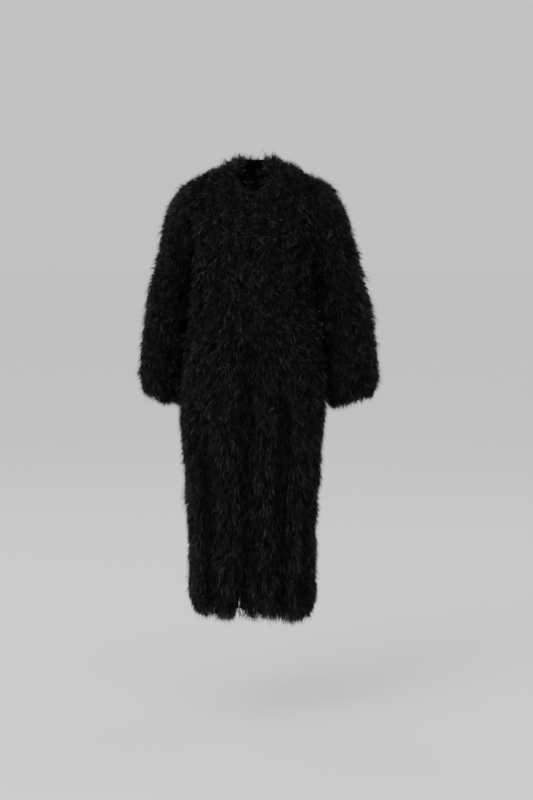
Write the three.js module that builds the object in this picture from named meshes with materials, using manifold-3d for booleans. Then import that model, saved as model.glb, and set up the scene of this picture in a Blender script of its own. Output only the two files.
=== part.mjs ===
// Long straight coat covered all over with black down feathers, in millimetres, +Z up.
// The origin is the middle of the neck opening, at the height of the shoulder line.
// The coat faces -Y, and the wearer's left is +X.
// Each wall is feathered cloth: plain on the inside, and out to the feather tips on the outside,
// where the tufts of down stand in staggered rows.

import * as THREE from "three";
import { mergeVertices } from "three/addons/utils/BufferGeometryUtils.js";
import Module from "manifold-3d";

const wasm = await Module();
wasm.setup();

// Driving dimensions
const SEAM_GAP = 0.3;

// Walls: ground cloth and feather pile together. The pile is pressed flat beside the body.
const BODY_WALL = 26;
const SLEEVE_WALL_OUTER = 24;
const SLEEVE_WALL_BODY_SIDE = 13;
const SLEEVE_WALL_FACE = 22;

// Heights of the hem and the neck rim, and how far cutting solids run past the ends
const HEM_Z = -1236;
const HEM_ROUNDING_Z = -1196;
const NECK_RIM_Z = 36;
const OVERSHOOT = 60;

// Tufts: spacing of their rows, depth of the roots below the tips, unevenness and droop of the tips
const TUFT_STEP = 29;
const TUFT_DEPTH = 9;
const TUFT_TIP_UNEVENNESS = 3;
const TUFT_ROOT_UNEVENNESS = 2.5;
const TUFT_DROOP = 5;
const BODY_COLUMNS = 38;
const SLEEVE_COLUMNS = 18;
const HOLLOW_COLUMNS = 24;
const HOLLOW_STEP = 110;
const HOLLOW_SHOULDER_HEIGHTS = [-170, -120, -85, -60, -40, -24, -10, 2, 14];
const SLOPE_SPAN = 12;
const PATH_STEPS_PER_ROW = 24;

// Side and shoulder seams lie in one upright plane
const SIDE_SEAM_Y = 6;

// Neck opening, and the oval round it that bounds the neck band
const NECK = { halfWidth: 48, front: 44, back: 54 };
const NECK_BAND = { halfWidth: 88, front: 78, back: 90, bottom: -110 };
const NECK_NOTCH = { apexX: 4, apexZ: -52, halfWidth: 47, kneeZ: 0, bow: 37, bowZ: -34 };

// Sections of the body over the feathers, hem to neck rim
const BODY_SECTIONS = [
  { z: HEM_Z, halfWidth: 164, front: 137, back: 127, shift: -9, square: 2.3 },
  { z: -1224, halfWidth: 178, front: 150, back: 140, shift: -9, square: 2.3 },
  { z: HEM_ROUNDING_Z, halfWidth: 186, front: 157, back: 146, shift: -9, square: 2.3 },
  { z: -1072, halfWidth: 187, front: 158, back: 146, shift: -11, square: 2.3 },
  { z: -960, halfWidth: 191, front: 158, back: 146, shift: -11, square: 2.3 },
  { z: -845, halfWidth: 198, front: 159, back: 147, shift: -11, square: 2.3 },
  { z: -733, halfWidth: 206, front: 159, back: 149, shift: -11, square: 2.3 },
  { z: -640, halfWidth: 208, front: 159, back: 149, shift: -8, square: 2.3 },
  { z: -560, halfWidth: 205, front: 158, back: 145, shift: -5, square: 2.3 },
  { z: -480, halfWidth: 197, front: 156, back: 139, shift: -4, square: 2.3 },
  { z: -400, halfWidth: 187, front: 155, back: 133, shift: -4, square: 2.3 },
  { z: -310, halfWidth: 174, front: 156, back: 133, shift: -3, square: 2.4 },
  { z: -240, halfWidth: 175, front: 157, back: 137, shift: -2, square: 2.5 },
  { z: -170, halfWidth: 185, front: 150, back: 140, shift: 0, square: 2.6 },
  { z: -120, halfWidth: 191, front: 136, back: 138, shift: 0, square: 2.6 },
  { z: -85, halfWidth: 190, front: 122, back: 132, shift: 0, square: 2.6 },
  { z: -55, halfWidth: 183, front: 108, back: 123, shift: 0, square: 2.5 },
  { z: -28, halfWidth: 168, front: 93, back: 110, shift: 0, square: 2.4 },
  { z: -10, halfWidth: 145, front: 81, back: 99, shift: 0, square: 2.3 },
  { z: 4, halfWidth: 118, front: 71, back: 89, shift: 0, square: 2.2 },
  { z: 16, halfWidth: 92, front: 62, back: 80, shift: 0, square: 2.1 },
  { z: 26, halfWidth: 72, front: 55, back: 72, shift: 0, square: 2.0 },
  { z: NECK_RIM_Z, halfWidth: 58, front: 50, back: 63, shift: 0, square: 2.0 },
];

// Sections of the left sleeve over the feathers, from inside the shoulder to the cuff.
// lean turns a section further in the plane of the arm, in degrees, so that the cuff slopes.
const SLEEVE_SECTIONS = [
  { x: 70, y: 6, z: -98, across: 82, deep: 84, lean: 0 },
  { x: 118, y: 6, z: -93, across: 87, deep: 90, lean: 0 },
  { x: 158, y: 6, z: -112, across: 87, deep: 92, lean: 0 },
  { x: 185, y: 7, z: -155, across: 79, deep: 92, lean: 0 },
  { x: 211, y: 9, z: -226, across: 69, deep: 90, lean: 0 },
  { x: 237, y: 12, z: -310, across: 64, deep: 88, lean: 0 },
  { x: 254, y: 16, z: -395, across: 66, deep: 86, lean: 2 },
  { x: 264, y: 20, z: -479, across: 67, deep: 84, lean: 5 },
  { x: 271, y: 24, z: -564, across: 68, deep: 82, lean: 10 },
  { x: 272, y: 26, z: -612, across: 67, deep: 79, lean: 14 },
  { x: 272, y: 27, z: -634, across: 61, deep: 74, lean: 16 },
  { x: 272, y: 27, z: -648, across: 51, deep: 66, lean: 17 },
];
const CUFF_ROUNDING_ROW = 9;
const FULLNESS_FROM_Z = -130;
const FULLNESS_TO_Z = -300;
const AXIS_STEP = 0.2;

// The right sleeve is pressed a little flatter against the body than the left one
const SLEEVES = [
  { name: "sleeve_right", side: -1, fullness: 0.97 },
  { name: "sleeve_left", side: 1, fullness: 1.1 },
];

// Hanging channels between the feather rows of the skirt: angle from the front, height of the
// upper end, depth and half width. Negative angles are on the wearer's right.
const CHANNELS = [
  { angle: -74, top: -560, depth: 7, halfWidth: 24 },
  { angle: -36, top: -640, depth: 11, halfWidth: 26 },
  { angle: 0, top: -420, depth: 8, halfWidth: 18 },
  { angle: 33, top: -700, depth: 11, halfWidth: 26 },
  { angle: 58, top: -790, depth: 8, halfWidth: 24 },
  { angle: 96, top: -600, depth: 8, halfWidth: 24 },
  { angle: 132, top: -520, depth: 10, halfWidth: 28 },
  { angle: 168, top: -680, depth: 8, halfWidth: 24 },
  { angle: -158, top: -540, depth: 11, halfWidth: 26 },
  { angle: -118, top: -700, depth: 9, halfWidth: 26 },
];
const CHANNEL_FADE = 140;

// Where the hem hangs lower or higher than HEM_Z, by angle from the front
const HEM_LEVELS = [
  { angle: -180, rise: 4 },
  { angle: -120, rise: -4 },
  { angle: -70, rise: 8 },
  { angle: -25, rise: -3 },
  { angle: 12, rise: 6 },
  { angle: 55, rise: -20 },
  { angle: 95, rise: 6 },
  { angle: 140, rise: -6 },
  { angle: 180, rise: 4 },
];
const HEM_LEVEL_FADE = 130;

// The front edges meet along this line, which drifts to the wearer's right above the hem
const FRONT_EDGE = [
  { z: 120, x: 4, gap: SEAM_GAP },
  { z: -60, x: 4, gap: SEAM_GAP },
  { z: -640, x: -2, gap: SEAM_GAP },
  { z: -1040, x: -8, gap: SEAM_GAP },
  { z: -1160, x: -26, gap: SEAM_GAP },
  { z: -1320, x: -54, gap: 26 },
];

// Half size of the solids that part the panels
const REACH = 700;

const MATERIAL = { color: 0x0b0a0c, roughness: 0.9, metalness: 0 };

const toRadians = THREE.MathUtils.degToRad;

// Catmull-Rom value of one column of a table at a fractional row
function columnAt(rows, key, at) {
  const last = rows.length - 1;
  const row = Math.min(Math.max(Math.floor(at), 0), last - 1);
  const t = at - row;
  const pick = (index) => rows[Math.min(Math.max(index, 0), last)][key];
  const [a, b, c, d] = [pick(row - 1), pick(row), pick(row + 1), pick(row + 2)];
  const slopeB = (c - a) / 2;
  const slopeC = (d - b) / 2;
  const t2 = t * t;
  const t3 = t2 * t;
  return b * (2 * t3 - 3 * t2 + 1) + c * (3 * t2 - 2 * t3)
    + slopeB * (t3 - 2 * t2 + t) + slopeC * (t3 - t2);
}

// Straight-line value of one column where another column has the value at
function lookUp(rows, inKey, at, outKey) {
  const rising = rows[rows.length - 1][inKey] > rows[0][inKey];
  const ordered = rising ? rows : [...rows].reverse();
  if (at <= ordered[0][inKey]) return ordered[0][outKey];
  for (let i = 1; i < ordered.length; i++) {
    const [low, high] = [ordered[i - 1], ordered[i]];
    if (at <= high[inKey]) {
      const t = (at - low[inKey]) / (high[inKey] - low[inKey]);
      return low[outKey] + t * (high[outKey] - low[outKey]);
    }
  }
  return ordered[ordered.length - 1][outKey];
}

// Soft step from 0 at one value to 1 at another, which may be the lower one
const smooth = (from, to, value) => THREE.MathUtils.smoothstep((value - from) / (to - from), 0, 1);

// Fractional rows of a table, evenly spaced by length along the path that keyX and keyZ draw
function evenRows(rows, keyX, keyZ, spacing) {
  const fine = PATH_STEPS_PER_ROW;
  const count = (rows.length - 1) * fine;
  const lengths = [0];
  for (let i = 1; i <= count; i++) {
    const dx = columnAt(rows, keyX, i / fine) - columnAt(rows, keyX, (i - 1) / fine);
    const dz = columnAt(rows, keyZ, i / fine) - columnAt(rows, keyZ, (i - 1) / fine);
    lengths.push(lengths[i - 1] + Math.hypot(dx, dz));
  }
  const steps = Math.max(2, Math.round(lengths[count] / spacing));
  const result = [];
  let at = 0;
  for (let step = 0; step <= steps; step++) {
    const wanted = (lengths[count] * step) / steps;
    while (at < count && lengths[at] < wanted) at++;
    result.push(at / fine);
  }
  return result;
}

// Closed surface through rings of points, capped at both ends.
// In each cell the diagonal joins the two corners whose row and column add up to an odd number.
function loft(rings) {
  const columns = rings[0].length;
  const points = rings.flat();
  const middle = (ring) => ring.reduce((sum, p) => sum.add(p), new THREE.Vector3())
    .divideScalar(ring.length);
  const firstCentre = points.length;
  points.push(middle(rings[0]));
  const lastCentre = points.length;
  points.push(middle(rings[rings.length - 1]));
  const faces = [];
  for (let i = 0; i < rings.length - 1; i++) {
    for (let j = 0; j < columns; j++) {
      const next = (j + 1) % columns;
      const [a, b] = [i * columns + j, i * columns + next];
      const [c, d] = [a + columns, b + columns];
      if ((i + j) % 2 === 0) faces.push(a, b, c, b, d, c);
      else faces.push(a, b, d, a, d, c);
    }
  }
  const top = (rings.length - 1) * columns;
  for (let j = 0; j < columns; j++) {
    const next = (j + 1) % columns;
    faces.push(firstCentre, next, j);
    faces.push(lastCentre, top + j, top + next);
  }
  const geometry = new THREE.BufferGeometry();
  geometry.setAttribute("position", new THREE.Float32BufferAttribute(
    points.flatMap((p) => [p.x, p.y, p.z]), 3));
  geometry.setIndex(faces);
  return geometry;
}

function toSolid(geometry) {
  const bare = geometry.clone();
  bare.deleteAttribute("normal");
  bare.deleteAttribute("uv");
  const merged = mergeVertices(bare, 1e-4);
  return new wasm.Manifold(new wasm.Mesh({
    numProp: 3,
    vertProperties: new Float32Array(merged.attributes.position.array),
    triVerts: new Uint32Array(merged.index.array),
  }));
}

function toMesh(solid, name) {
  const largest = solid.decompose().reduce((a, b) => (b.volume() > a.volume() ? b : a));
  const { vertProperties, triVerts } = largest.getMesh();
  const geometry = new THREE.BufferGeometry();
  geometry.setAttribute("position", new THREE.BufferAttribute(new Float32Array(vertProperties), 3));
  geometry.setIndex(new THREE.BufferAttribute(new Uint32Array(triVerts), 1));
  geometry.computeVertexNormals();
  const mesh = new THREE.Mesh(geometry, new THREE.MeshStandardMaterial(MATERIAL));
  mesh.name = name;
  return mesh;
}

// Signed angle in degrees between two directions round the body, -180 to 180
const angleBetween = (a, b) => ((a - b + 540) % 360) - 180;

// How far a channel of the skirt pulls the feather tips in
function channelDepth(angle, z, radius) {
  return CHANNELS.reduce((sum, channel) => {
    const across = toRadians(Math.abs(angleBetween(angle, channel.angle))) * radius;
    const shape = Math.exp(-((across / channel.halfWidth) ** 2));
    return sum + channel.depth * shape * smooth(channel.top, channel.top - CHANNEL_FADE, z);
  }, 0);
}

// Staggered tufts: tips at every other crossing of rows and columns, roots between them.
// The unevenness comes from sines of the row and column, so it is the same every time.
function tuft(row, column) {
  const uneven = 0.5 + 0.5 * Math.sin(row * 2.7 + column * 4.1) * Math.cos(row * 1.3 - column * 0.9);
  const isTip = (row + column) % 2 === 0;
  return {
    inward: isTip ? TUFT_TIP_UNEVENNESS * uneven : TUFT_DEPTH - TUFT_ROOT_UNEVENNESS * uneven,
    down: isTip ? TUFT_DROOP * (0.5 + uneven) : 0,
  };
}

// A rounded section: point at an angle from the front, and the direction out of it
function sectionPoint(section, angle) {
  const s = Math.sin(toRadians(angle));
  const c = Math.cos(toRadians(angle));
  const power = 2 / section.square;
  const x = Math.sign(s) * Math.abs(s) ** power * section.halfWidth;
  const depth = c > 0 ? section.front : section.back;
  const y = -Math.sign(c) * Math.abs(c) ** power * depth;
  const out = new THREE.Vector3(x / section.halfWidth ** 2, y / depth ** 2, 0).normalize();
  return { point: new THREE.Vector3(x + section.shift, y, section.z), out };
}

const BODY_KEYS = ["z", "halfWidth", "front", "back", "shift", "square"];
const SLEEVE_KEYS = ["x", "y", "z", "across", "deep", "lean"];
const sectionAt = (rows, keys, at) =>
  Object.fromEntries(keys.map((key) => [key, columnAt(rows, key, at)]));

// Outside of the body as one filled solid, grow moves it out for a seam gap
function bodyOutside(grow = 0) {
  const stations = evenRows(BODY_SECTIONS, "halfWidth", "z", TUFT_STEP);
  const rings = stations.map((at, row) => {
    const section = sectionAt(BODY_SECTIONS, BODY_KEYS, at);
    const hemFade = smooth(HEM_Z + HEM_LEVEL_FADE, HEM_Z, section.z);
    return Array.from({ length: BODY_COLUMNS }, (_, column) => {
      const angle = (360 * column) / BODY_COLUMNS - 180;
      const { point, out } = sectionPoint(section, angle);
      const { inward, down } = tuft(row, column);
      const channel = channelDepth(angle, section.z, section.halfWidth);
      point.addScaledVector(out, grow - inward - channel);
      point.z += hemFade * lookUp(HEM_LEVELS, "angle", angle, "rise");
      if (row === 0) point.z -= grow;
      else if (row === stations.length - 1) point.z += grow;
      else point.z -= down;
      return point;
    });
  });
  return toSolid(loft(rings));
}

// Hollow of the body, open at the hem and the neck: each size is moved in so far that the wall
// is BODY_WALL thick square to its slope, but never narrower than the neck opening
function bodyHollow() {
  const sizeInside = (key, z) => {
    const held = Math.max(z, HEM_ROUNDING_Z);
    const here = lookUp(BODY_SECTIONS, "z", held, key);
    const above = lookUp(BODY_SECTIONS, "z", held + SLOPE_SPAN, key);
    const slope = (above - here) / SLOPE_SPAN;
    return Math.max(here - BODY_WALL * Math.hypot(1, slope), NECK[key]);
  };
  const heights = [HEM_Z - OVERSHOOT];
  for (let z = HEM_ROUNDING_Z; z < HOLLOW_SHOULDER_HEIGHTS[0]; z += HOLLOW_STEP) heights.push(z);
  heights.push(...HOLLOW_SHOULDER_HEIGHTS, NECK_RIM_Z + OVERSHOOT);
  const rings = heights.map((z) => {
    const section = {
      z,
      halfWidth: sizeInside("halfWidth", z),
      front: sizeInside("front", z),
      back: sizeInside("back", z),
      shift: lookUp(BODY_SECTIONS, "z", z, "shift"),
      square: lookUp(BODY_SECTIONS, "z", z, "square"),
    };
    return Array.from({ length: HOLLOW_COLUMNS }, (_, column) =>
      sectionPoint(section, (360 * column) / HOLLOW_COLUMNS - 180).point);
  });
  return toSolid(loft(rings));
}

// A ring of the sleeve, square to its axis but for the lean. The walls are how far the ring
// lies inside the feather tips on the outer side, on the body side and on the two faces.
function sleeveRing(section, direction, sleeve, columns, walls, relief) {
  const turn = -toRadians(section.lean);
  const fullness = 1 + (sleeve.fullness - 1) * smooth(FULLNESS_FROM_Z, FULLNESS_TO_Z, section.z);
  const along = direction.clone().applyAxisAngle(new THREE.Vector3(0, 1, 0), turn);
  const outward = new THREE.Vector3(-along.z, 0, along.x);
  const halfAcross = section.across * fullness - (walls.outer + walls.bodySide) / 2;
  const offCentre = (walls.bodySide - walls.outer) / 2;
  const halfDeep = section.deep / Math.sqrt(fullness) - walls.face;
  return Array.from({ length: columns }, (_, column) => {
    const angle = (2 * Math.PI * column) / columns;
    const [c, s] = [Math.cos(angle), Math.sin(angle)];
    const { inward, down } = relief(column);
    const point = new THREE.Vector3(section.x, section.y, section.z);
    point.addScaledVector(outward, offCentre + c * (halfAcross - inward));
    point.y += s * (halfDeep - inward);
    return point.addScaledVector(along, down);
  });
}

function sleeveSolid(sleeve, walls, stations, columns, relief, extend) {
  const axisAt = (at) => new THREE.Vector3(
    columnAt(SLEEVE_SECTIONS, "x", at), 0, columnAt(SLEEVE_SECTIONS, "z", at));
  const last = SLEEVE_SECTIONS.length - 1;
  const rings = stations.map((at, row) => {
    const section = sectionAt(SLEEVE_SECTIONS, SLEEVE_KEYS, at);
    const [before, after] = [Math.max(at - AXIS_STEP, 0), Math.min(at + AXIS_STEP, last)];
    const direction = axisAt(after).sub(axisAt(before)).normalize();
    const reliefAt = (column) => relief(row, column);
    return sleeveRing(section, direction, sleeve, columns, walls, reliefAt);
  });
  if (extend > 0) {
    const [before, end] = [rings[rings.length - 2], rings[rings.length - 1]];
    const onward = end[0].clone().sub(before[0]).setY(0).normalize();
    rings.push(end.map((point) => point.clone().addScaledVector(onward, extend)));
  }
  for (const point of rings.flat()) point.x *= sleeve.side;
  if (sleeve.side > 0) rings.forEach((ring) => ring.reverse());
  return toSolid(loft(rings));
}

function sleeveOutside(sleeve) {
  const stations = evenRows(SLEEVE_SECTIONS, "x", "z", TUFT_STEP);
  const relief = (row, column) =>
    (row === stations.length - 1 ? { inward: 0, down: 0 } : tuft(row, column));
  return sleeveSolid(sleeve, { outer: 0, bodySide: 0, face: 0 }, stations, SLEEVE_COLUMNS, relief, 0);
}

function sleeveHollow(sleeve) {
  const walls = {
    outer: SLEEVE_WALL_OUTER,
    bodySide: SLEEVE_WALL_BODY_SIDE,
    face: SLEEVE_WALL_FACE,
  };
  const plain = () => ({ inward: 0, down: 0 });
  const stations = Array.from({ length: CUFF_ROUNDING_ROW + 1 }, (_, row) => row);
  return sleeveSolid(sleeve, walls, stations, SLEEVE_COLUMNS, plain, OVERSHOOT);
}

// A flat outline in X and Z, made solid from one Y to another
function uprightPrism(shape, fromY, toY) {
  const geometry = new THREE.ExtrudeGeometry(shape, { depth: toY - fromY, bevelEnabled: false });
  geometry.rotateX(Math.PI / 2);
  geometry.translate(0, toY, 0);
  return toSolid(geometry);
}

// The half of the coat in front of the side seams, on one side of the front edge line
function frontRegion(side) {
  const shape = new THREE.Shape();
  const edge = FRONT_EDGE.map(({ z, x, gap }) => [x + (side * gap) / 2, z]);
  shape.moveTo(side * REACH, FRONT_EDGE[0].z);
  edge.forEach(([x, z]) => shape.lineTo(x, z));
  shape.lineTo(side * REACH, FRONT_EDGE[FRONT_EDGE.length - 1].z);
  return uprightPrism(shape, -REACH, SIDE_SEAM_Y - SEAM_GAP / 2);
}

function backRegion() {
  const shape = new THREE.Shape();
  const [top, bottom] = [FRONT_EDGE[0].z, FRONT_EDGE[FRONT_EDGE.length - 1].z];
  shape.moveTo(-REACH, top);
  shape.lineTo(REACH, top);
  shape.lineTo(REACH, bottom);
  shape.lineTo(-REACH, bottom);
  return uprightPrism(shape, SIDE_SEAM_Y + SEAM_GAP / 2, REACH);
}

// The rounded notch at the throat, cut through the front wall only
function neckNotch() {
  const { apexX, apexZ, halfWidth, kneeZ, bow, bowZ } = NECK_NOTCH;
  const top = NECK_RIM_Z + OVERSHOOT;
  const shape = new THREE.Shape();
  shape.moveTo(halfWidth, top);
  shape.lineTo(halfWidth, kneeZ);
  shape.quadraticCurveTo(bow, bowZ, apexX, apexZ);
  shape.quadraticCurveTo(-bow, bowZ, -halfWidth, kneeZ);
  shape.lineTo(-halfWidth, top);
  return uprightPrism(shape, -REACH, 0);
}

// Upright oval column that bounds the neck band
function neckBandRegion(grow) {
  const section = {
    halfWidth: NECK_BAND.halfWidth + grow,
    front: NECK_BAND.front + grow,
    back: NECK_BAND.back + grow,
    shift: 0,
    square: 2,
  };
  const ringAt = (z) => Array.from({ length: HOLLOW_COLUMNS }, (_, column) =>
    sectionPoint({ ...section, z }, (360 * column) / HOLLOW_COLUMNS - 180).point);
  return toSolid(loft([ringAt(NECK_BAND.bottom), ringAt(NECK_RIM_Z + OVERSHOOT)]));
}

function buildCoat() {
  const coat = new THREE.Group();
  const hollows = SLEEVES.map(sleeveHollow);
  const wall = bodyOutside().subtract(bodyHollow()).subtract(neckNotch());
  const panels = hollows.reduce((rest, hollow) => rest.subtract(hollow), wall)
    .subtract(neckBandRegion(SEAM_GAP));
  coat.add(toMesh(panels.intersect(frontRegion(-1)), "front_right"));
  coat.add(toMesh(panels.intersect(frontRegion(1)), "front_left"));
  coat.add(toMesh(panels.intersect(backRegion()), "back"));
  coat.add(toMesh(wall.intersect(neckBandRegion(0)), "neck_band"));
  const bodyWithGap = bodyOutside(SEAM_GAP);
  SLEEVES.forEach((sleeve, index) => {
    const tube = sleeveOutside(sleeve).subtract(hollows[index]);
    coat.add(toMesh(tube.subtract(bodyWithGap), sleeve.name));
  });
  return coat;
}

export default buildCoat();
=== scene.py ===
# %% [markdown]
# # A coat covered all over with down feathers
#
# The coat is a plain, straight ground cloth with thousands of little marabou plumes sewn on in rows.
# Seen from outside there is only down: the cloth decides the outline, the down decides the surface.
#
# This lesson follows the making: first the cut pieces of cloth, then the plumes on each of them,
# then the black finish. Lengths are in metres, the coat faces -Y and +Z is up. Left is the coat's
# own left, +X, and right is -X.

# %% Load the fixed frame
import math

import bpy
import numpy as np
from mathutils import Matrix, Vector


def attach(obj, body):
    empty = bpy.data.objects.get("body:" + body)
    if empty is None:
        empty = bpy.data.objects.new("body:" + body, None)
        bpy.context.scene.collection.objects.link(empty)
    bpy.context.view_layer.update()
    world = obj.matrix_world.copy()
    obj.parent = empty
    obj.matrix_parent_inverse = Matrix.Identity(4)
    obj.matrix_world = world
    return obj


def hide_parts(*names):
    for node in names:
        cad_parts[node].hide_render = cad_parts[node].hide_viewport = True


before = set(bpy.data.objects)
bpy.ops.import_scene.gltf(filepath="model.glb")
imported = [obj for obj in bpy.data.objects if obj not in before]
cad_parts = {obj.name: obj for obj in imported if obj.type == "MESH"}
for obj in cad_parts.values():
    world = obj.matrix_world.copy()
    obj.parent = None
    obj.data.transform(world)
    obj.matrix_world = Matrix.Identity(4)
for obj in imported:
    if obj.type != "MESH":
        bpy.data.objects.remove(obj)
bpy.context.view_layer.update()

# %% [markdown]
# ## Camera, floor and light
#
# A black, matt thing is only readable through its edges and its highlights. So the light is large
# and soft in front, and two lights stand behind to draw the tips along the outline.
# The camera stands a little to the coat's left, level with the shoulders, and looks slightly down.

# %% Camera at the photograph's angle
AZIMUTH = math.radians(7)
DISTANCE = 5.1
CAMERA_Z = -0.06
SENSOR_MM = 36
FOCAL_PIXELS = 1809
LONG_SIDE_PIXELS = 800
AIM_RIGHT_PIXELS = 10.5
AIM_DOWN_PIXELS = 209

right = Vector((math.cos(AZIMUTH), math.sin(AZIMUTH), 0))
ahead = Vector((-math.sin(AZIMUTH), math.cos(AZIMUTH), 0))
camera = bpy.data.objects.new("camera", bpy.data.cameras.new("camera"))
bpy.context.scene.collection.objects.link(camera)
camera.data.lens = FOCAL_PIXELS * SENSOR_MM / LONG_SIDE_PIXELS
camera.location = -ahead * DISTANCE + Vector((0, 0, CAMERA_Z))
aim = ahead * FOCAL_PIXELS + right * AIM_RIGHT_PIXELS - Vector((0, 0, AIM_DOWN_PIXELS))
camera.rotation_euler = aim.to_track_quat("-Z", "Y").to_euler()
bpy.context.scene.camera = camera
print("camera lens", round(camera.data.lens, 1), "mm")


# %% Plain pale floor
def principled(name, colour, roughness, sheen=0.0):
    """A new material, with its shader node."""
    material = bpy.data.materials.new(name)
    material.use_nodes = True
    shader = material.node_tree.nodes["Principled BSDF"]
    shader.inputs["Base Color"].default_value = (*colour, 1)
    shader.inputs["Roughness"].default_value = roughness
    shader.inputs["Sheen Weight"].default_value = sheen
    return material, shader


FLOOR_Z = -1.56
FLOOR_SIZE = 60
FLOOR_COLOUR = 0.62, 0.61, 0.6
FLOOR_ROUGHNESS = 0.75

bpy.ops.mesh.primitive_plane_add(size=FLOOR_SIZE, location=(0, 0, FLOOR_Z))
floor = bpy.context.object
floor.name = "floor"
floor.data.materials.append(principled("floor", FLOOR_COLOUR, FLOOR_ROUGHNESS)[0])
print("floor at", FLOOR_Z)

# %% Soft studio light
MIDDLE_OF_COAT = Vector((0, 0, -0.55))


def soft_light(name, place, size, watts):
    """A square light at place, turned towards the middle of the coat."""
    light = bpy.data.objects.new(name, bpy.data.lights.new(name, "AREA"))
    light.data.size = size
    light.data.energy = watts
    light.location = place
    light.rotation_euler = (MIDDLE_OF_COAT - Vector(place)).to_track_quat("-Z", "Y").to_euler()
    bpy.context.scene.collection.objects.link(light)


SOFT_LIGHTS = [
    # name, place, size, watts
    ("key", (-2.4, -3.4, 2.4), 2.4, 170),
    ("fill", (3.4, -3.0, 0.6), 2.6, 60),
    ("edge_right", (-2.6, 2.6, 1.6), 1.8, 40),
    ("edge_left", (2.8, 2.4, 1.4), 1.8, 40),
]
for soft in SOFT_LIGHTS:
    soft_light(*soft)
print("soft lights", [soft[0] for soft in SOFT_LIGHTS])

# %% Even light from above and all round
SKY_STRENGTH = 1.75
SKY_SPREAD = math.radians(60)
SKY_TURN = math.radians(25), 0, math.radians(-20)
WORLD_COLOUR = 0.8, 0.8, 0.81, 1
WORLD_STRENGTH = 1.15

sky = bpy.data.objects.new("sky", bpy.data.lights.new("sky", "SUN"))
sky.data.energy = SKY_STRENGTH
sky.data.angle = SKY_SPREAD
sky.rotation_euler = SKY_TURN
bpy.context.scene.collection.objects.link(sky)
world = bpy.data.worlds.new("studio")
world.use_nodes = True
background = world.node_tree.nodes["Background"]
background.inputs["Color"].default_value = WORLD_COLOUR
background.inputs["Strength"].default_value = WORLD_STRENGTH
bpy.context.scene.world = world

# %% [markdown]
# ## The shape over the feathers
#
# A pattern cutter measures a coat level by level: how wide, how deep in front, how deep behind.
# The same few measurements are the rows of the tables here, taken over the tips of the feathers.
# A smooth curve through the rows gives every level between them.

# %% Tables of the body and of the left sleeve
BODY = np.array([
    # z, half width, front, back, shift, squareness
    [-1.236, 0.164, 0.137, 0.127, -0.009, 2.3],
    [-1.224, 0.178, 0.150, 0.140, -0.009, 2.3],
    [-1.196, 0.186, 0.157, 0.146, -0.009, 2.3],
    [-1.072, 0.187, 0.158, 0.146, -0.011, 2.3],
    [-0.960, 0.191, 0.158, 0.146, -0.011, 2.3],
    [-0.845, 0.198, 0.159, 0.147, -0.011, 2.3],
    [-0.733, 0.206, 0.159, 0.149, -0.011, 2.3],
    [-0.640, 0.208, 0.159, 0.149, -0.008, 2.3],
    [-0.560, 0.205, 0.158, 0.145, -0.005, 2.3],
    [-0.480, 0.197, 0.156, 0.139, -0.004, 2.3],
    [-0.400, 0.187, 0.155, 0.133, -0.004, 2.3],
    [-0.310, 0.174, 0.156, 0.133, -0.003, 2.4],
    [-0.240, 0.175, 0.157, 0.137, -0.002, 2.5],
    [-0.170, 0.185, 0.150, 0.140, 0.000, 2.6],
    [-0.120, 0.191, 0.136, 0.138, 0.000, 2.6],
    [-0.085, 0.190, 0.122, 0.132, 0.000, 2.6],
    [-0.055, 0.183, 0.108, 0.123, 0.000, 2.5],
    [-0.028, 0.168, 0.093, 0.110, 0.000, 2.4],
    [-0.010, 0.145, 0.081, 0.099, 0.000, 2.3],
    [0.004, 0.118, 0.071, 0.089, 0.000, 2.2],
    [0.016, 0.092, 0.062, 0.080, 0.000, 2.1],
    [0.026, 0.072, 0.055, 0.072, 0.000, 2.0],
    [0.036, 0.058, 0.050, 0.063, 0.000, 2.0],
])
Z, HALF_WIDTH, FRONT, BACK, SHIFT, SQUARE = range(6)
SLEEVE = np.array([
    # x, y, z, half size across, half depth, lean in degrees
    [0.070, 0.006, -0.098, 0.082, 0.084, 0],
    [0.118, 0.006, -0.093, 0.087, 0.090, 0],
    [0.158, 0.006, -0.112, 0.087, 0.092, 0],
    [0.185, 0.007, -0.155, 0.079, 0.092, 0],
    [0.211, 0.009, -0.226, 0.069, 0.090, 0],
    [0.237, 0.012, -0.310, 0.064, 0.088, 0],
    [0.254, 0.016, -0.395, 0.066, 0.086, 2],
    [0.264, 0.020, -0.479, 0.067, 0.084, 5],
    [0.271, 0.024, -0.564, 0.068, 0.082, 10],
    [0.272, 0.026, -0.612, 0.067, 0.079, 14],
    [0.272, 0.027, -0.634, 0.061, 0.074, 16],
    [0.272, 0.027, -0.648, 0.051, 0.066, 17],
])
print(len(BODY), "rows; deepest in front", BODY[:, FRONT].max(), "m, behind", BODY[:, BACK].max(), "m")

# %% Smooth curves through the rows
STEPS_PER_ROW = 24


def smooth_rows(table):
    """Catmull-Rom: b(2t³-3t²+1) + c(3t²-2t³) + (c-a)/2 (t³-2t²+t) + (d-b)/2 (t³-t²) in each gap."""
    last = len(table) - 1
    at = np.arange(last * STEPS_PER_ROW + 1) / STEPS_PER_ROW
    row = np.minimum(at.astype(int), last - 1)
    t = (at - row)[:, None]
    a, b, c, d = (table[np.clip(row + k, 0, last)] for k in (-1, 0, 1, 2))
    return (b * (2 * t**3 - 3 * t**2 + 1) + c * (3 * t**2 - 2 * t**3)
            + (c - a) / 2 * (t**3 - 2 * t**2 + t) + (d - b) / 2 * (t**3 - t**2))


def path_length(*columns):
    """Length from the first row along the path that the columns draw."""
    step = np.sqrt(sum(np.diff(column) ** 2 for column in columns))
    return np.concatenate([[0], np.cumsum(step)])


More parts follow.
